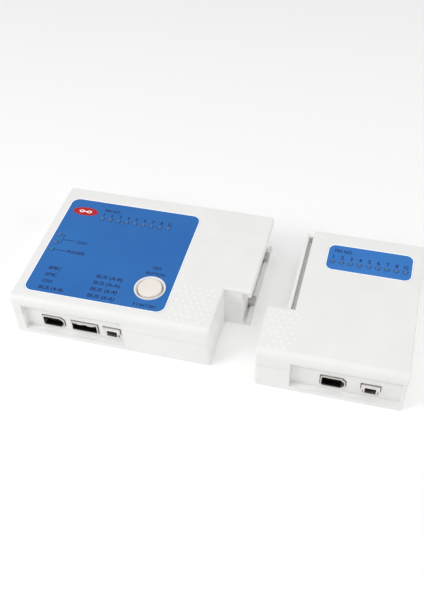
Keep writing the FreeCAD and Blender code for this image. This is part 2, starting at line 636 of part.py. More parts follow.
def lamps(unit):
    """The indicator lamps with their spacers and leads."""
    flange_low = "case_height + lamp_proud - lamp_body - lamp_flange"
    spacers, leads = [], []
    for name, places in lamp_places(unit).items():
        lenses = []
        for number, (across, along) in enumerate(places):
            tag = f"{name}_{number}"
            dome = doc.addObject("Part::Sphere", tag + "_dome")
            bind(dome, Radius="lamp_radius", Base_x=across, Base_y=along,
                 Base_z="case_height + lamp_proud - lamp_radius")
            barrel = rod(tag + "_barrel", across, along,
                         (flange_low, "case_height + lamp_proud - lamp_radius"), "lamp_radius")
            flange = rod(tag + "_flange", across, along,
                         (flange_low, flange_low + " + lamp_flange"), "lamp_flange_radius")
            lenses.append(fuse(tag + "_lens", dome, barrel, flange))
            outer = rod(tag + "_spacer_out", across, along, ("board_top", flange_low), "spacer_radius")
            bore = rod(tag + "_spacer_bore", across, along, ("board_top - 1", "case_height"), "spacer_bore")
            spacers.append(cut(tag + "_spacer", outer, bore))
            for side, offset in (("left", "0 - lead_offset"), ("right", "lead_offset")):
                middle = f"{across} + {offset}"
                leads.append(box(f"{tag}_{side}_lead",
                                 (middle + " - lead_size / 2", middle + " + lead_size / 2"),
                                 (f"{along} - lead_size / 2", f"{along} + lead_size / 2"),
                                 ("board_top", flange_low)))
        node(group(name + "_set", lenses), name, unit)
    node(group(unit + "_spacer_set", spacers), unit + "_lamp_spacers", unit)
    node(group(unit + "_lead_set", leads), unit + "_lamp_leads", unit)


# ---------------------------------------------------------------- test button and switch
def test_button():
    """The round cap with the flange that holds it in and the stem that presses the switch."""
    flange_top = "case_height - case_wall - button_play"
    cap_top = "case_height + button_proud"
    blank = turned("button_blank", [
        ("0", "plunger_top"), ("button_stem", "plunger_top"),
        ("button_stem", flange_top + " - button_flange"),
        ("button_flange_radius", flange_top + " - button_flange"), ("button_flange_radius", flange_top),
        ("button_radius", flange_top), ("button_radius", cap_top), ("0", cap_top)])
    rim_height = size("case_height") + size("button_proud")
    cap = round_edges("button_solid", blank,
                      lambda edge: size("button_round") if lies_at(edge, "z", rim_height) else None)
    return node(cap, "test_button", "master", "button_across", "button_along")


def test_switch():
    """A tactile switch: a square housing with a well, and the plunger that moves in it."""
    half = "switch_width / 2"
    housing = box("switch_block", (f"0 - {half}", half), (f"0 - {half}", half),
                  ("board_top", "board_top + switch_height"))
    well = rod("switch_well", "0", "0", ("well_floor", "board_top + switch_height + 1"), "plunger_bore")
    node(cut("switch_housing", housing, well), "test_switch", "master", "button_across", "button_along")
    plunger = rod("plunger", "0", "0", ("plunger_low", "plunger_top"), "plunger_radius")
    dimple = rod("plunger_dimple", "0", "0", ("plunger_top - dimple_depth", "plunger_top + 1"),
                 "dimple_radius")
    node(cut("plunger_solid", plunger, dimple), "switch_plunger", "master",
         "button_across", "button_along")


# ---------------------------------------------------------------- connectors
def six_outline(grow):
    """Six-contact socket: a flat left end and a pointed right end."""
    left, right = f"0 - six_width / 2 - ({grow})", f"six_width / 2 + ({grow})"
    low, high = f"0 - ({grow})", f"six_height + ({grow})"
    return [(left + " + six_nick", low), (right + " - six_point", low), (right, low + " + six_point"),
            (right, high + " - six_point"), (right + " - six_point", high), (left + " + six_nick", high),
            (left, high + " - six_nick"), (left, low + " + six_nick")]


def four_outline(grow):
    """Four-contact socket: a wide upper part over a narrower foot."""
    wide, foot = f"four_width / 2 + ({grow})", f"four_foot / 2 + ({grow})"
    low, step, high = f"0 - ({grow})", f"four_step - ({grow})", f"four_height + ({grow})"
    return [(f"0 - ({foot})", low), (foot, low), (foot, step), (wide, step), (wide, high),
            (f"0 - ({wide})", high), (f"0 - ({wide})", step), (f"0 - ({foot})", step)]


def usb_outline(grow):
    """Flat bus socket: a plain rectangle."""
    side, low, high = f"usb_width / 2 + ({grow})", f"0 - ({grow})", f"usb_height + ({grow})"
    return [(f"0 - ({side})", low), (side, low), (side, high), (f"0 - ({side})", high)]


def square_outline(grow):
    """Square bus socket: the two upper corners are cut off."""
    side, low, high = f"square_width / 2 + ({grow})", f"0 - ({grow})", f"square_height + ({grow})"
    return [(f"0 - ({side})", low), (side, low), (side, high + " - square_cut"),
            (side + " - square_cut", high), (f"0 - ({side}) + square_cut", high),
            (f"0 - ({side})", high + " - square_cut")]


def jack_outline(grow):
    """Eight-contact modular jack: its square housing."""
    side, low, high = f"jack_width / 2 + ({grow})", f"0 - ({grow})", f"jack_height + ({grow})"
    return [(f"0 - ({side})", low), (side, low), (side, high), (f"0 - ({side})", high)]


def mouth_outline(kind, fit):
    """The hole in a socket's shell, less a fit: the four-contact one is a plain slot low in its face."""
    if kind != "four":
        return OUTLINES[kind](f"0 - shell_wall - ({fit})")
    side, low = f"four_mouth_width / 2 - ({fit})", f"shell_wall + ({fit})"
    high = f"shell_wall + four_mouth_height - ({fit})"
    return [(f"0 - ({side})", low), (side, low), (side, high), (f"0 - ({side})", high)]


OUTLINES = {"six": six_outline, "four": four_outline, "usb": usb_outline,
            "square": square_outline, "jack": jack_outline}
SOCKET_NAMES = {"six": "six_pin", "four": "four_pin", "usb": "usb_a", "square": "usb_b"}


def socket(unit, kind, across, faces_back=False):
    """A metal shell with a moulded insert; it is drawn with its mouth at Y = 0, towards -Y."""
    name = f"{unit}_{SOCKET_NAMES[kind]}"
    depth = f"{kind}_depth"
    outside = bind(padded(name + "_outside", "XZ_Plane", OUTLINES[kind]("0"), depth),
                   Base_y=f"{depth} / 2")
    inside = bind(padded(name + "_inside", "XZ_Plane", mouth_outline(kind, "0"), depth),
                  Base_y=f"{depth} / 2 - shell_wall")
    shell = cut(name + "_shell_solid", outside, inside)
    plug = padded(name + "_plug", "XZ_Plane", mouth_outline(kind, "insert_fit"), "insert_block")
    bind(plug, Base_y=f"{depth} - shell_wall - insert_block / 2")
    tongue_solid = box(name + "_tongue_bar",
                       (f"0 - {kind}_tongue_width / 2", f"{kind}_tongue_width / 2"),
                       ("tongue_setback", f"{depth} - shell_wall - 1"),
                       (f"{kind}_tongue_low", f"{kind}_tongue_high"))
    insert = fuse(name + "_insert_solid", plug, tongue_solid)
    along = "case_depth - 0.1" if faces_back else "socket_mouth"
    turn = 180 if faces_back else 0
    node(shell, name + "_shell", unit, across, along, "board_top", turn)
    node(insert, name + "_insert", unit, across, along, "board_top", turn)


def modular_jack(unit, across):
    """The housing of an eight-contact jack with its latch slot downwards, and its spring contacts."""
    name = unit + "_jack"
    housing = bind(padded(name + "_housing", "XZ_Plane", jack_outline("0"), "jack_depth"),
                   Base_y="jack_depth / 2")
    hollows = []
    for part, width, low, high in (("mouth", "jack_mouth", "jack_mouth_low", "jack_mouth_high"),
                                   ("latch", "latch_width", "latch_low", "jack_mouth_low + 1"),
                                   ("key", "key_width", "key_low", "latch_low + 1")):
        hollows.append(box(f"{name}_{part}", (f"0 - {width} / 2", f"{width} / 2"),
                           ("0 - 1", "jack_cavity"), (low, high)))
    node(cut(name + "_solid", housing, *hollows), name, unit, across, "case_depth - 0.1", "board_top", 180)
    contacts = []
    for number in range(8):
        contact = box(f"{name}_contact_{number}",
                      (f"({number} - 3.5) * contact_pitch - contact_width / 2",
                       f"({number} - 3.5) * contact_pitch + contact_width / 2"),
                      ("contact_back", "contact_back + contact_length"),
                      ("contact_low", "contact_low + contact_thick"))
        # each spring rises from the back of the mouth towards its front edge
        contact.Placement.Rotation = FreeCAD.Rotation(FreeCAD.Vector(1, 0, 0), 168)
        contacts.append(contact)
    node(group(name + "_contact_set", contacts), name + "_contacts", unit, across, "case_depth - 0.1",
         "board_top", 180)


# ---------------------------------------------------------------- battery, door and catches
TERMINALS = (("small_stud", "-"), ("large_stud", "+"))


def battery():
    """A nine-volt battery that lies on its broad side, with its terminals forwards."""
    block = box("battery_block", ("battery_left", "battery_left + battery_width"),
                ("battery_front", "battery_front + battery_length"),
                ("battery_low", "battery_low + battery_height"))
    corner = size("battery_round")

    def runs_lengthwise(edge):
        first, last = edge.Vertexes[0].Point, edge.Vertexes[-1].Point
        return abs(first.y - last.y) > 1

    can = round_edges("battery_can", block, lambda edge: corner if runs_lengthwise(edge) else None)
    middle = "battery_left + battery_width / 2"
    level = "battery_low + battery_height / 2"
    studs = [rod_along(f"battery_{side}", "y", f"{middle} {sign} stud_offset",
                       "battery_front + stud_inside", level, "stud_length", side)
             for side, sign in TERMINALS]
    return node(fuse("battery_solid", can, *studs), "battery", "master")


def battery_snap():
    """The moulded clip that presses on to the battery's two terminals."""
    middle = "battery_left + battery_width / 2"
    level = "battery_low + battery_height / 2"
    plate = box("snap_plate", (middle + " - snap_width / 2", middle + " + snap_width / 2"),
                ("bay_front + snap_fit", "battery_front - snap_fit"),
                (level + " - snap_height / 2", level + " + snap_height / 2"))
    sockets = [rod_along(f"snap_{side}", "y", f"{middle} {sign} stud_offset", "battery_front", level,
                         "stud_length - stud_inside + 1.5 * stud_fit", side + " + stud_fit")
               for side, sign in TERMINALS]
    return node(cut("snap_solid", plate, *sockets), "battery_snap", "master")


def battery_door():
    """The sliding door: a plate flush with the case's underside, with a thin rail along each side."""
    plate = box("door_plate", ("door_left", "door_right"), ("door_front", "case_depth"),
                ("0", "door_thickness"))
    rails = box("door_rails", ("door_left - door_rail", "door_right + door_rail"),
                ("door_front", "case_depth"), ("door_rail_low", "door_thickness"))
    grips = [box(f"door_grip_{number}", ("door_left + grip_inset", "door_right - grip_inset"),
                 (f"case_depth - grip_back - grip_width - {number} * grip_pitch",
                  f"case_depth - grip_back - {number} * grip_pitch"), ("0 - 1", "engraving"))
             for number in range(DOOR_GRIPS)]
    middle = "(door_left + door_right) / 2"
    arrow = padded("door_arrow", "XY_Plane",
                   [(middle + " - arrow_reach", "arrow_back - arrow_length"),
                    (middle + " + arrow_reach", "arrow_back - arrow_length"), (middle, "arrow_back")],
                   "2 * engraving")
    blank = fuse("door_blank", plate, rails)
    return node(cut("door_solid", blank, *grips, arrow), "battery_door", "master")


def dock_catches():
    """Two sprung catches in the dock channel, each a wedge on the sill."""
    wedges = []
    for number, (front, back) in enumerate(CATCH_SPANS):
        catch = box(f"catch_{number}_block", ("dock_wall", "sill_right - catch_fit"), (front, back),
                    ("sill_top", "sill_top + catch_height"))
        crown = size("sill_top") + size("catch_height")
        wedges.append(round_edges(f"catch_{number}", catch,
                                  lambda edge: size("catch_round") if lies_at(edge, "z", crown) and not
                                  lies_at(edge, "x", size("dock_wall")) else None))
    return node(group("catch_set", wedges), "dock_catches", "master")


# ---------------------------------------------------------------- assembly
for unit_name in ("master", "remote"):
    outer_form = case_form(unit_name)
    top_cover(unit_name, outer_form)
    bottom_cover(unit_name, outer_form)
    label(unit_name)
    board(unit_name)
    lamps(unit_name)
    screws(unit_name)

for socket_kind, place_across in MASTER_SOCKETS.items():
    socket("master", socket_kind, place_across)
for socket_kind, place_across in REMOTE_SOCKETS.items():
    socket("remote", socket_kind, place_across)
for socket_kind in ("usb", "square"):
    socket("remote", socket_kind, REMOTE_BACK_ROW[socket_kind], faces_back=True)
modular_jack("master", MASTER_JACK)
modular_jack("remote", REMOTE_BACK_ROW["jack"])
controller_chip()
resistors("master", 28.0, 8)
resistors("remote", 18.0, 9)
test_button()
test_switch()
battery()
battery_snap()
battery_door()
dock_catches()
doc.recompute()

failed = [item.Name for item in doc.Objects if {"Invalid", "Error"} & set(item.State)]
if failed:
    raise RuntimeError(f"objects that failed to build: {failed}")
os.makedirs("parts", exist_ok=True)
for sub_part in NODES:
    if sub_part.Shape.isNull() or not sub_part.Shape.isValid():
        raise RuntimeError(f"{sub_part.Label} has no valid shape")
    sub_part.Shape.exportStep(f"parts/{sub_part.Label}.step")
    print(f"{sub_part.Label}: {len(sub_part.Shape.Solids)} solid(s), {sub_part.Shape.Volume:.1f} mm3")
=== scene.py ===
"""Looks of a two-unit network cable tester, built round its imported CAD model.

Metres, in the CAD model's frame: +X runs from the master unit to the remote unit, +Y from the
front faces to the back faces, and +Z is up.  Sizes are written in millimetres, times MM.
"""
import json
import math

import bmesh
import bpy
from mathutils import Matrix, Vector


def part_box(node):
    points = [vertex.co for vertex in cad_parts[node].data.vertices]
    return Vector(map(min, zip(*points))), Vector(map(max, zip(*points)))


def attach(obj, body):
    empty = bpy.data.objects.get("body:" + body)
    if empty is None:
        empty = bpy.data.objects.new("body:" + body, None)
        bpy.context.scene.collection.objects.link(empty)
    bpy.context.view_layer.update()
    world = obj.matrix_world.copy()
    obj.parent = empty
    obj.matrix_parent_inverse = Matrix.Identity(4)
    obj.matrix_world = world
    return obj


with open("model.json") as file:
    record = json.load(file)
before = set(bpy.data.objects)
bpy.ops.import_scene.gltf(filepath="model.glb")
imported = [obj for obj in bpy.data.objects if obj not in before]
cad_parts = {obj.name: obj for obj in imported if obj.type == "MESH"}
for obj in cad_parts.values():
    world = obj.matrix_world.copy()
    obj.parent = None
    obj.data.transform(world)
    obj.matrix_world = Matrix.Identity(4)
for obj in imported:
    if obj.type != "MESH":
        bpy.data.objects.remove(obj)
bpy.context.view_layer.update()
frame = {"nodes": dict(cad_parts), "record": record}
MM = 0.001

# ---------------------------------------------------------------- where things are, from the frame
master_low, remote_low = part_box("master_top_cover")[0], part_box("remote_top_cover")[0]
CASE_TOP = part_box("master_label")[0].z + 0.3 * MM
LABELS = {"master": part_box("master_label"), "remote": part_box("remote_label")}
LABEL_ROUND = {"master": 4.35 * MM, "remote": 3.65 * MM}    # the labels' corner radii
LABEL_EDGE = 0.35 * MM      # width of the white border round the blue print
LAMPS_IN_ROW = 9
LAMP_FLANGE = 1.5 * MM      # radius of a lamp's flange
SHELL_WALL = 0.4 * MM       # sheet thickness of the socket shells


# ---------------------------------------------------------------- camera, floor and lights
def add_camera():
    """A camera that looks down at the pair from the front, a little from the right."""
    azimuth, elevation, roll = math.radians(16.4), math.radians(47.3), math.radians(-2.46)
    target, distance = Vector((-5.5, 2.0, 0)) * MM, 397 * MM
    turn = (Matrix.Rotation(azimuth, 4, "Z") @ Matrix.Rotation(math.pi / 2 - elevation, 4, "X")
            @ Matrix.Rotation(roll, 4, "Z"))
    camera = bpy.data.objects.new("camera", bpy.data.cameras.new("camera"))
    camera.data.sensor_width = 36
    camera.data.lens = 47.6
    camera.matrix_world = Matrix.Translation(target) @ turn @ Matrix.Translation((0, 0, distance))
    bpy.context.scene.collection.objects.link(camera)
    bpy.context.scene.camera = camera


def add_light(name, azimuth, elevation, distance, size, power):
    """A square soft light that faces the middle of the pair; azimuth 0 is in front, 90 at the right."""
    light = bpy.data.objects.new(name, bpy.data.lights.new(name, "AREA"))
    light.data.size = size
    light.data.energy = power
    azimuth, elevation = math.radians(azimuth), math.radians(elevation)
    away = Vector((math.sin(azimuth) * math.cos(elevation), -math.cos(azimuth) * math.cos(elevation),
                   math.sin(elevation)))
    light.location = away * distance
    light.rotation_euler = away.to_track_quat("Z", "Y").to_euler()
    bpy.context.scene.collection.objects.link(light)


def add_surroundings():
    world = bpy.data.worlds.new("studio")
    world.use_nodes = True
    world.node_tree.nodes["Background"].inputs["Color"].default_value = (1.0, 0.995, 0.99, 1)
    world.node_tree.nodes["Background"].inputs["Strength"].default_value = 0.46
    bpy.context.scene.world = world
    bpy.context.scene.view_settings.view_transform = "Standard"
    add_light("left_light", -55, 38, 0.9, 0.4, 2.55)
    add_light("right_light", 84, 32, 0.9, 0.4, 1.4)
    add_light("top_light", 30, 84, 1.0, 0.9, 2.7)


# ---------------------------------------------------------------- finishes
def linear(channel):
    """One channel of a screen colour, 0 to 255, as the linear value that shaders use."""
    share = channel / 255
    return share / 12.92 if share <= 0.04045 else ((share + 0.055) / 1.055) ** 2.4


def colour(red, green, blue):
    return (linear(red), linear(green), linear(blue), 1.0)


class Finish:
    """A material: the Principled shader, with textures in the piece's own coordinates."""

    def __init__(self, name, base, roughness, **sockets):
        self.material = bpy.data.materials.new(name)
        self.material.use_nodes = True
        self.tree = self.material.node_tree
        self.shader = self.tree.nodes["Principled BSDF"]
        self.shader.inputs["Base Color"].default_value = base
        self.shader.inputs["Roughness"].default_value = roughness
        for socket, value in sockets.items():
            self.shader.inputs[socket.replace("_", " ")].default_value = value
        self.place = self.tree.nodes.new("ShaderNodeTexCoord").outputs["Object"]

    def soften(self, radius):
        """Shades edges as if they were rounded."""
        bevel = self.tree.nodes.new("ShaderNodeBevel")
        bevel.inputs["Radius"].default_value = radius
        self.tree.links.new(bevel.outputs["Normal"], self.shader.inputs["Normal"])
        return self

    def noise(self, grain, detail=2.0, stretch=(1, 1, 1)):
        """Noise whose features are about grain metres across, drawn out along an axis by stretch."""
        mapping = self.tree.nodes.new("ShaderNodeMapping")
        mapping.inputs["Scale"].default_value = [1 / (grain * share) for share in stretch]
        noise = self.tree.nodes.new("ShaderNodeTexNoise")
        noise.inputs["Scale"].default_value = 1.0
        noise.inputs["Detail"].default_value = detail
        self.tree.links.new(self.place, mapping.inputs["Vector"])
        self.tree.links.new(mapping.outputs["Vector"], noise.inputs["Vector"])
        return noise.outputs["Fac"]

    def ranged(self, texture, low, high):
        """A texture's middle range as a number from low to high."""
        spread = self.tree.nodes.new("ShaderNodeMapRange")
        spread.inputs["From Min"].default_value = 0.3
        spread.inputs["From Max"].default_value = 0.7
        spread.inputs["To Min"].default_value = low
        spread.inputs["To Max"].default_value = high
        self.tree.links.new(texture, spread.inputs["Value"])
        return spread.outputs["Result"]

    def tint(self, texture, other):
        """Blends the base colour towards another colour where the texture is high."""
        mix = self.tree.nodes.new("ShaderNodeMix")
        mix.data_type = "RGBA"
        mix.inputs["A"].default_value = self.shader.inputs["Base Color"].default_value
        mix.inputs["B"].default_value = other
        self.tree.links.new(self.ranged(texture, 0, 1), mix.inputs["Factor"])
        self.tree.links.new(mix.outputs["Result"], self.shader.inputs["Base Color"])
        return self

    def polish(self, texture, low, high):
        """Lets the roughness wander between two values."""
        self.tree.links.new(self.ranged(texture, low, high), self.shader.inputs["Roughness"])
        return self

    def relief(self, texture, depth):
        """Raises the surface by up to depth metres where the texture is high."""
        bump = self.tree.nodes.new("ShaderNodeBump")
        bump.inputs["Distance"].default_value = depth
        earlier = self.shader.inputs["Normal"].links
        if earlier:
            self.tree.links.new(earlier[0].from_socket, bump.inputs["Normal"])
        self.tree.links.new(texture, bump.inputs["Height"])
        self.tree.links.new(bump.outputs["Normal"], self.shader.inputs["Normal"])
        return self


def moulded(name, base, shade, roughness, grain=0.3, depth=0.006, specular=0.5):
    """Moulded plastic: a fine spark-eroded grain, a slow drift in colour and uneven gloss."""
    finish = Finish(name, base, roughness, IOR=1.5, Specular_IOR_Level=specular).soften(0.25 * MM)
    finish.tint(finish.noise(14 * MM), shade)
    finish.polish(finish.noise(3 * MM, 4), roughness - 0.05, roughness + 0.07)
    finish.relief(finish.noise(grain * MM, 3), depth * MM)
    return finish.relief(finish.noise(22 * MM, 0), 0.02 * MM)


def printed_film(name, base, shade):
    """Satin polyester film with ink under it."""
    finish = Finish(name, base, 0.4, IOR=1.55)
    finish.tint(finish.noise(30 * MM, 1), shade)
    finish.polish(finish.noise(5 * MM, 3), 0.34, 0.46)
    return finish.relief(finish.noise(0.2 * MM, 2), 0.002 * MM)


def printing_ink(name, base, shade):
    finish = Finish(name, base, 0.45)
    return finish.tint(finish.noise(0.6 * MM, 3), shade)


def plated(name, base, shade, roughness, stretch=(6, 1, 1)):
    """Plated sheet metal with drawing marks along one axis."""
    finish = Finish(name, base, roughness, Metallic=1.0)
    finish.tint(finish.noise(1.5 * MM, 4), shade)
    finish.polish(finish.noise(0.25 * MM, 3, stretch), roughness - 0.07, roughness + 0.1)
    return finish.relief(finish.noise(0.15 * MM, 2, stretch), 0.003 * MM)


def clear_lens(name, base):
    """Cast lamp resin that lets part of the light through to its core."""
    finish = Finish(name, base, 0.2, IOR=1.45)
    finish.shader.inputs["Transmission Weight"].default_value = 0.35
    finish.polish(finish.noise(0.5 * MM, 2), 0.15, 0.26)
    return finish.relief(finish.noise(0.8 * MM, 1), 0.004 * MM)


def clean_resin(name, base, shade, roughness=0.5):
    """Plain resin without a grain, with a slight drift in colour."""
    finish = Finish(name, base, roughness)
    return finish.tint(finish.noise(0.5 * MM, 1), shade)


def circuit_board(name):
    """Glass-fibre board: green mask, with tracks showing as raised lines under it."""
    finish = Finish(name, colour(24, 92, 58), 0.35)
    finish.tint(finish.noise(2.0 * MM, 2, (1, 6, 1)), colour(38, 118, 74))
    finish.relief(finish.noise(1.6 * MM, 0, (1, 8, 1)), 0.03 * MM)
    return finish.relief(finish.noise(0.4 * MM, 1), 0.004 * MM)


FINISHES = {
    "case_white": moulded("case_white", colour(247, 247, 246), colour(243, 243, 242), 0.42),
    "label_blue": printed_film("label_blue", colour(24, 104, 184), colour(32, 112, 190)),
    "label_light_blue": printed_film("label_light_blue", colour(38, 118, 200), colour(46, 124, 205)),
    "button_white": moulded("button_white", colour(243, 237, 229), colour(246, 240, 233), 0.36, 0.2, 0.003),
    # painted reflection: the lens is tinted the label's blue, which clear resin shows from round it
    "lamp_lens": clear_lens("lamp_lens", colour(92, 140, 196)),
    "socket_metal": plated("socket_metal", (0.82, 0.8, 0.78, 1), (0.72, 0.69, 0.66, 1), 0.4),
    "black_nylon": moulded("black_nylon", colour(11, 10, 11), colour(18, 17, 18), 0.5, 0.25, 0.008,
                           specular=0.2),
    "contact_metal": plated("contact_metal", (0.83, 0.62, 0.25, 1), (0.75, 0.54, 0.2, 1), 0.22, (1, 6, 1)),
    "board_green": circuit_board("board_green"),
    "resistor_body": moulded("resistor_body", colour(196, 166, 120), colour(176, 144, 98), 0.45),
    "screw_steel": plated("screw_steel", (0.5, 0.5, 0.52, 1), (0.36, 0.36, 0.38, 1), 0.34, (1, 1, 1)),
    "spacer_nylon": moulded("spacer_nylon", colour(214, 212, 200), colour(202, 199, 186), 0.5),
    "lead_tin": plated("lead_tin", (0.66, 0.66, 0.66, 1), (0.52, 0.52, 0.53, 1), 0.3, (1, 1, 6)),
    "plunger_ivory": moulded("plunger_ivory", colour(226, 214, 184), colour(214, 200, 168), 0.4),
    "battery_can": plated("battery_can", (0.42, 0.42, 0.45, 1), (0.34, 0.34, 0.37, 1), 0.3, (1, 6, 1)),
    "catch_steel": plated("catch_steel", (0.6, 0.58, 0.57, 1), (0.48, 0.46, 0.45, 1), 0.45, (1, 6, 1)),
    "floor": Finish("floor", (0.93, 0.93, 0.93, 1), 0.8),
    # painted reflection: the cores are painted the label's blue that the clear resin shows; only their
    # faint green and red casts are the lamps' own tint
    "core_clear": clean_resin("core_clear", colour(96, 142, 196), colour(84, 130, 184)),
    "core_green": clean_resin("core_green", colour(94, 146, 160), colour(82, 134, 148)),
    "core_red": clean_resin("core_red", colour(118, 118, 176), colour(106, 106, 164)),
    # painted highlight: the pips, moulded in the case's plastic, are painted a shade whiter than the case
    "pip_white_painted_highlight": clean_resin("pip_white_painted_highlight", colour(253, 253, 253), colour(250, 250, 250), 0.35),
    "ink_navy": printing_ink("ink_navy", colour(12, 34, 84), colour(18, 42, 94)),
    "white_ink_painted_glow": printing_ink("white_ink_painted_glow", colour(255, 255, 255), colour(250, 252, 253)),
    "ink_red": printing_ink("ink_red", colour(196, 26, 30), colour(180, 20, 26)),
}
FINISHES["floor"].relief(FINISHES["floor"].noise(6 * MM, 2), 0.02 * MM)
# a little glow: an even brightness on the floor, and painted light on the white ink of the label borders,
# badge symbol and battery marks, which glow though they are no lamp
for glowing, strength in (("floor", 0.12), ("white_ink_painted_glow", 0.22)):
    FINISHES[glowing].shader.inputs["Emission Color"].default_value = (1, 1, 1, 1)
    FINISHES[glowing].shader.inputs["Emission Strength"].default_value = strength


def paint(piece, finish):
    piece.data.materials.clear()
    piece.data.materials.append(FINISHES[finish].material)


def paint_cad_nodes():
    """Gives every CAD node the finish of its material slot."""
    for part in frame["record"]["subparts"]:
        piece = frame["nodes"][part["node"]]
        paint(piece, part["material_slot"])


# ---------------------------------------------------------------- mesh helpers
def add_piece(name, body, finish, mesh):
    """Makes a finished mesh a piece of the object."""
    piece = bpy.data.objects.new(name, mesh)
    bpy.context.scene.collection.objects.link(piece)
    paint(piece, finish)
    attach(piece, body)
    return piece


def mesh_of(shape, smooth=False):
    """The mesh of a bmesh, with its normals turned outwards."""
    bmesh.ops.recalc_face_normals(shape, faces=shape.faces)
    for face in shape.faces:
        face.smooth = smooth
    mesh = bpy.data.meshes.new("mesh")
    shape.to_mesh(mesh)
    shape.free()
    return mesh


def ring_of(shape, outline, height):
    return [shape.verts.new((point.x, point.y, height)) for point in outline]


def join_rings(shape, lower, upper):
    count = len(lower)
    for number in range(count):
        following = (number + 1) % count
        shape.faces.new((lower[number], lower[following], upper[following], upper[number]))


def prism(shape, outline, low, high):
    """A closed upright prism on an outline."""
    lower, upper = ring_of(shape, outline, low), ring_of(shape, outline, high)
    join_rings(shape, lower, upper)
    shape.faces.new(lower[::-1])
    shape.faces.new(upper)


def block(shape, low, high):
    """A closed box between two corners."""
    corners = ((low.x, low.y), (high.x, low.y), (high.x, high.y), (low.x, high.y))
    prism(shape, [Vector(corner) for corner in corners], low.z, high.z)


def bent_strip(shape, path, first_x, last_x, thickness):
    """A closed strip of sheet metal that follows a path of (y, z) points between two x values."""
    upper = [Vector((along, up)) for along, up in path]
    lower = [Vector((along, up - thickness)) for along, up in reversed(path)]
    sides = [[shape.verts.new((across, point.x, point.y)) for point in upper + lower]
             for across in (first_x, last_x)]
    join_rings(shape, *sides)
    shape.faces.new(sides[0][::-1])
    shape.faces.new(sides[1])


def band(shape, outer, inner, low, high):
    """A closed flat band between two outlines with as many points as each other."""
    rings = [ring_of(shape, outline, height) for outline, height in
             ((outer, low), (outer, high), (inner, high), (inner, low))]
    for number, ring in enumerate(rings):
        join_rings(shape, ring, rings[(number + 1) % 4])


def turned(shape, centre, profile, segments=24):
    """A closed solid turned about an upright axis; its (radius, height) pairs start and end on it."""
    (_, low), (_, high) = profile[0], profile[-1]
    turns = [2 * math.pi * number / segments for number in range(segments)]
    spokes = [Vector((math.cos(turn), math.sin(turn))) for turn in turns]
    rings = [ring_of(shape, [centre.xy + radius * spoke for spoke in spokes], centre.z + height)
             for radius, height in profile[1:-1]]
    for lower, upper in zip(rings, rings[1:]):
        join_rings(shape, lower, upper)
    for tip, ring in ((low, rings[0]), (high, rings[-1])):
        point = shape.verts.new((centre.x, centre.y, centre.z + tip))
        for number in range(segments):
            shape.faces.new((point, ring[number], ring[(number + 1) % segments]))


def rounded_outline(low, high, radius, steps=8):
    """A rectangle's outline with round corners, in order."""
    corners = [((high.x, high.y), 0), ((low.x, high.y), 90), ((low.x, low.y), 180), ((high.x, low.y), 270)]
    points = []
    for (across, along), first in corners:
        middle = Vector((across - math.copysign(radius, across - (low.x + high.x) / 2),
                         along - math.copysign(radius, along - (low.y + high.y) / 2)))
        for step in range(steps + 1):
            turn = math.radians(first + 90 * step / steps)
            points.append(middle + radius * Vector((math.cos(turn), math.sin(turn))))
    return points


def oval_outline(centre, half, segments=40):
    turns = [2 * math.pi * number / segments for number in range(segments)]
    return [centre + Vector((half.x * math.cos(turn), half.y * math.sin(turn))) for turn in turns]


# ---------------------------------------------------------------- grip pips
def grip_pips(unit, low, first_across, columns):
    """A staggered field of low domes on the top face, near the front corner beside the dock."""
    pitch, radius, rise, sink = 3.4 * MM, 0.75 * MM, 0.24 * MM, 0.08 * MM
    rows, first_along = 8, 4.7 * MM
    steps = 5
    profile = [(0, -sink), (radius, -sink)]
    profile += [(radius * math.cos(turn), rise * math.sin(turn))
                for turn in (math.pi / 2 * step / steps for step in range(steps))]
    profile.append((0, rise))
    shape = bmesh.new()
    for row in range(rows):
        shift = pitch / 2 if row % 2 else 0
        for column in range(columns - row % 2):
            centre = Vector((low.x + first_across + shift + column * pitch,
                             low.y + first_along + row * pitch * math.sin(math.pi / 3), CASE_TOP))
            turned(shape, centre, profile, 14)
    add_piece(unit + "_grip_pips", unit, "pip_white_painted_highlight", mesh_of(shape, smooth=True))


# ---------------------------------------------------------------- printing on the labels
PRINT_LOW, PRINT_HIGH = -0.02 * MM, 0.02 * MM
CAPITAL_SHARE = 0.73     # a capital's height as a share of the font's size


def print_corner(unit):
    """The left front corner of the label's blue print, inside its white border."""
    return LABELS[unit][0].xy + Vector((LABEL_EDGE, LABEL_EDGE))


def add_words(shape, text, capital, width, align, place):
    """Adds a line of thin printed words to a mesh, as wide as given unless width is None.

    Place moves the words from the origin to their surface.
    """
    curve = bpy.data.curves.new("words", "FONT")
    curve.body = text
    curve.align_x = align
    curve.size = capital / CAPITAL_SHARE
    curve.space_character = 0.98
    curve.resolution_u = 3
    curve.offset = 0.05 * MM
    curve.extrude = PRINT_HIGH
    words = bpy.data.objects.new("words", curve)
    mesh = bpy.data.meshes.new_from_object(words)
    if width:
        ends = [corner.co.x for corner in mesh.vertices]
        mesh.transform(Matrix.Diagonal((width / (max(ends) - min(ends)), 1, 1, 1)))
    mesh.transform(place)
    shape.from_mesh(mesh)
    bpy.data.objects.remove(words)
    bpy.data.meshes.remove(mesh)


def lettering(name, unit, lines):
    """Printed words as one thin mesh; a line is (text, across, along, capital height, width, align).

    Across and along are from the blue print's left front corner to the baseline; all in millimetres.
    """
    corner, top = print_corner(unit), LABELS[unit][1].z
    shape = bmesh.new()
    for text, across, along, capital, width, align in lines:
        place = Matrix.Translation((corner.x + across * MM, corner.y + along * MM, top))
        add_words(shape, text, capital * MM, width and width * MM, align, place)
    add_piece(name, unit, "ink_navy", mesh_of(shape))


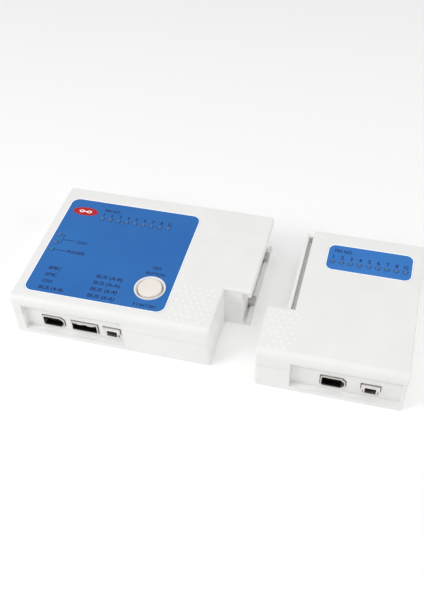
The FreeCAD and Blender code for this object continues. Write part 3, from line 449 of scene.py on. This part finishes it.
def label_border(unit):
    """The white edge of the label, which also covers the rim that stands proud of the cover."""
    low, high = LABELS[unit]
    overhang, skirt = 0.04 * MM, 0.1 * MM
    outlines = []
    for inset in (-overhang, LABEL_EDGE):
        step = Vector((inset, inset, 0))
        outlines.append(rounded_outline(low + step, high - step, LABEL_ROUND[unit] - inset))
    shape = bmesh.new()
    band(shape, *outlines, CASE_TOP - skirt, high.z + PRINT_HIGH)
    add_piece(unit + "_label_border", unit, "white_ink_painted_glow", mesh_of(shape))


def leader_lines():
    """The bracket beside the two coaxial lamps and the lines that lead to their names."""
    corner, top = print_corner("master"), LABELS["master"][1].z
    # each bar's left front and right back corners, in millimetres from the print's left front corner
    bars = [((4.6, 38.75), (5.9, 39.05)), ((5.6, 32.95), (5.9, 39.05)), ((4.6, 32.95), (5.9, 33.25)),
            ((6.4, 35.7), (12.2, 36.05)), ((4.6, 28.1), (10.2, 28.45))]
    shape = bmesh.new()
    for first, last in bars:
        block(shape, (corner + Vector(first) * MM).to_3d() + Vector((0, 0, top + PRINT_LOW)),
              (corner + Vector(last) * MM).to_3d() + Vector((0, 0, top + PRINT_HIGH)))
    add_piece("master_leader_lines", "master", "ink_navy", mesh_of(shape))


def badge():
    """A plain red oval with a link symbol: two rings joined by a bar."""
    low, high, symbol_high = (LABELS["master"][1].z + rise for rise in
                              (PRINT_LOW, PRINT_HIGH, 2 * PRINT_HIGH))
    centre = print_corner("master") + Vector((9.5, 58.4)) * MM
    oval, ring, hole, bar = (Vector(half) * MM for half in
                             ((6.75, 3.05), (1.3, 1.0), (0.8, 0.55), (1.0, 0.25)))
    reach, bar_round = 2.0 * MM, 0.1 * MM
    shape = bmesh.new()
    prism(shape, oval_outline(centre, oval), low, high)
    add_piece("master_badge", "master", "ink_red", mesh_of(shape))
    symbol = bmesh.new()
    for side in (-1, 1):
        middle = centre + Vector((side * reach, 0))
        band(symbol, oval_outline(middle, ring), oval_outline(middle, hole), low, symbol_high)
    prism(symbol, rounded_outline(centre - bar, centre + bar, bar_round, 2), low, symbol_high)
    add_piece("master_badge_symbol", "master", "white_ink_painted_glow", mesh_of(symbol))


def lamp_row(unit):
    """The middles of the nine lamps in a row, from the box of their node."""
    low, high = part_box(unit + "_line_lamps")
    first, last = low.x + LAMP_FLANGE, high.x - LAMP_FLANGE
    along = (low.y + high.y) / 2
    return [Vector((first + (last - first) * number / (LAMPS_IN_ROW - 1), along))
            for number in range(LAMPS_IN_ROW)]


def word_column(entries, across, along, pitch, capital):
    """Words one under another, as lettering takes them; an entry is (text, width)."""
    return [(text, across, along - pitch * row, capital, width, "LEFT")
            for row, (text, width) in enumerate(entries)]


def master_words():
    """The master label's words besides those of its lamp row, as lettering takes them."""
    left = word_column((("8P8C", 6.4), ("6P4C", 6.0), ("COAX", 5.5), ("BUS (4-4)", 12.2)),
                       across=6.6, along=14.9, pitch=4.3, capital=2.2)
    right = word_column([(text, 13.2) for text in ("BUS (A-B)", "BUS (A-A)", "BUS (6-4)", "BUS (6-6)")],
                        across=31.1, along=14.6, pitch=4.2, capital=2.2)
    return [("COAX", 13.0, 34.6, 2.1, 5.9, "LEFT"), ("POWER", 11.0, 27.2, 2.1, 9.2, "LEFT"), *left, *right,
            ("TEST", 57.9, 26.0, 1.8, 4.8, "CENTER"), ("BUTTON", 58.4, 22.2, 1.8, 9.3, "CENTER"),
            ("9 V BATTERY", 59.4, 1.7, 1.7, 11.4, "CENTER")]


def print_labels():
    """The words, borders and symbols on both labels."""
    marks, marks_behind = "12345678G", 2.3
    for unit, capital, width, title in (("master", 2.1, 8.4, (19.2, 60.3)),
                                        ("remote", 2.4, 8.6, (2.8, 11.9))):
        corner = print_corner(unit)
        lines = [("PIN NO.", *title, capital, width, "LEFT")]
        for mark, middle in zip(marks, lamp_row(unit)):
            place = (middle - corner) / MM
            lines.append((mark, place.x, place.y + marks_behind, capital, None, "CENTER"))
        lines += master_words() if unit == "master" else []
        lettering(unit + "_lettering", unit, lines)
        label_border(unit)
    leader_lines()
    badge()


# ---------------------------------------------------------------- lamp cores
def side_lamps():
    """The middles of the lamps at the master label's left edge, each with its core's finish."""
    (coax_low, coax_high), (power_low, power_high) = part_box("coax_lamps"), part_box("power_lamp")
    across = (coax_low.x + coax_high.x) / 2
    return [(Vector((across, coax_high.y - LAMP_FLANGE)), "core_clear"),
            (Vector((across, coax_low.y + LAMP_FLANGE)), "core_red"),
            (Vector((across, (power_low.y + power_high.y) / 2)), "core_green")]


# a core's (radius, height) in millimetres, with heights from the top of the case
CORE_PROFILE = [(0, -3.0), (1.05, -3.0), (1.05, -0.2), (0.95, 0.3), (0.74, 0.6), (0.42, 0.82), (0, 0.9)]


def lamp_cores():
    """The heart of each lamp, seen through its outer resin, painted the label's blue as painted reflection
    of the label in the clear resin.
    """
    profile = [(radius * MM, height * MM) for radius, height in CORE_PROFILE]
    for unit in ("master", "remote"):
        places = [(middle, "core_clear") for middle in lamp_row(unit)]
        places += side_lamps() if unit == "master" else []
        for finish in sorted({finish for _, finish in places}):
            shape = bmesh.new()
            for middle, its_finish in places:
                if its_finish == finish:
                    turned(shape, Vector((*middle, CASE_TOP)), profile, 16)
            add_piece(f"{unit}_lamp_{finish}", unit, finish, mesh_of(shape, smooth=True))


# ---------------------------------------------------------------- contacts and springs in the sockets
# for each kind of socket: its tongue's width, underside and top from the shell's underside, then the
# contacts under and over it
TONGUES = {"six_pin": (6.2, 2.1, 4.2, 3, 3), "four_pin": (3.4, 1.5, 2.6, 0, 4),
           "usb_a": (11.0, 3.1, 4.9, 4, 0), "usb_b": (5.6, 3.8, 7.0, 2, 2)}
SOCKETS = {"master": {"six_pin": 1, "usb_a": 1, "four_pin": 1},
           "remote": {"six_pin": 1, "four_pin": 1, "usb_a": -1, "usb_b": -1}}


def mouth_of(unit, kind, into):
    """The middle of the foot of a socket's mouth; into is 1 for a socket that faces the front."""
    low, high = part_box(f"{unit}_{kind}_shell")
    return Vector(((low.x + high.x) / 2, low.y if into > 0 else high.y, low.z))


def socket_contacts(unit):
    """Flat gold contacts along the tongue of each socket."""
    shape = bmesh.new()
    half_width, proud, sunk = 0.35, 0.07, 0.05
    nearest, farthest = 2.3, 7.5      # from the socket's mouth
    for kind, into in SOCKETS[unit].items():
        width, under, over, count_under, count_over = TONGUES[kind]
        mouth = mouth_of(unit, kind, into)
        for count, first, last in ((count_under, under - proud, under + sunk),
                                   (count_over, over - sunk, over + proud)):
            for number in range(count):
                across = width * ((number + 0.5) / count - 0.5)
                ends = sorted((into * nearest, into * farthest))
                block(shape, mouth + Vector((across - half_width, ends[0], first)) * MM,
                      mouth + Vector((across + half_width, ends[1], last)) * MM)
    add_piece(unit + "_socket_contacts", unit, "contact_metal", mesh_of(shape))


def shell_floor_shade_sheets(unit):
    """Black sheets on the floor of each wide shell, clear of its corners: painted shade, standing for the
    shadow on the metal floor seen through the mouth.
    """
    shape = bmesh.new()
    nearest, farthest, sunk, thickness = 0.5, 7.5, 0.05, 0.15
    for kind, left, right in (("six_pin", 0.5, 2.2), ("usb_a", 0.5, 0.5)):
        into = SOCKETS[unit][kind]
        low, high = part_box(f"{unit}_{kind}_shell")
        ends = sorted(mouth_of(unit, kind, into).y + into * depth * MM for depth in (nearest, farthest))
        floor = low.z + SHELL_WALL
        block(shape, Vector((low.x + left * MM, ends[0], floor - sunk * MM)),
              Vector((high.x - right * MM, ends[1], floor + thickness * MM)))
    add_piece(unit + "_shell_floor_shade_sheets", unit, "black_nylon", mesh_of(shape))


def shell_springs(unit):
    """The rolled edge of a flat bus socket's roof, with two bent fingers that hang behind it."""
    into = SOCKETS[unit]["usb_a"]
    mouth = mouth_of(unit, "usb_a", into)
    low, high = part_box(unit + "_usb_a_shell")
    inside = (high.z - low.z - 2 * SHELL_WALL) / MM
    shape = bmesh.new()
    thickness, overlap = 0.22, 0.1
    rolled = ((0.05, inside + overlap), (0.2, inside - 0.6), (0.45, inside + overlap))
    finger = ((0.05, inside + overlap), (0.5, inside - 1.5), (1.9, inside + overlap))
    for side, half_width, bends in ((0, 5.8, rolled), (-2.7, 1.4, finger), (2.7, 1.4, finger)):
        path = [(mouth.y + into * along * MM, mouth.z + SHELL_WALL + up * MM) for along, up in bends]
        bent_strip(shape, path, mouth.x + (side - half_width) * MM, mouth.x + (side + half_width) * MM,
                   thickness * MM)
    add_piece(unit + "_usb_a_springs", unit, "socket_metal", mesh_of(shape))


# ---------------------------------------------------------------- printing on the battery
def battery_print():
    """Generic marks on the side of the battery that the open door shows."""
    low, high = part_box("battery")
    middle = (low.x + high.x) / 2
    shape = bmesh.new()
    for text, along, capital in (("9 V", 26.0, 8.0), ("+       -", 9.0, 5.0)):
        place = Matrix.Translation((middle, low.y + along * MM, low.z)) @ Matrix.Rotation(math.pi, 4, "Y")
        add_words(shape, text, capital * MM, None, "CENTER", place)
    add_piece("battery_marks", "master", "white_ink_painted_glow", mesh_of(shape))


# ---------------------------------------------------------------- floor
def add_floor():
    """The table that both units lie on, 4 m square."""
    shape = bmesh.new()
    bmesh.ops.create_grid(shape, x_segments=8, y_segments=8, size=2.0)
    floor = bpy.data.objects.new("floor", mesh_of(shape))
    bpy.context.scene.collection.objects.link(floor)
    paint(floor, "floor")


add_camera()
add_surroundings()
add_floor()
paint_cad_nodes()
grip_pips("master", master_low, 77.4 * MM, 6)
grip_pips("remote", remote_low, 2.2 * MM, 5)
print_labels()
lamp_cores()
for unit_name in ("master", "remote"):
    socket_contacts(unit_name)
    shell_floor_shade_sheets(unit_name)
    shell_springs(unit_name)
battery_print()
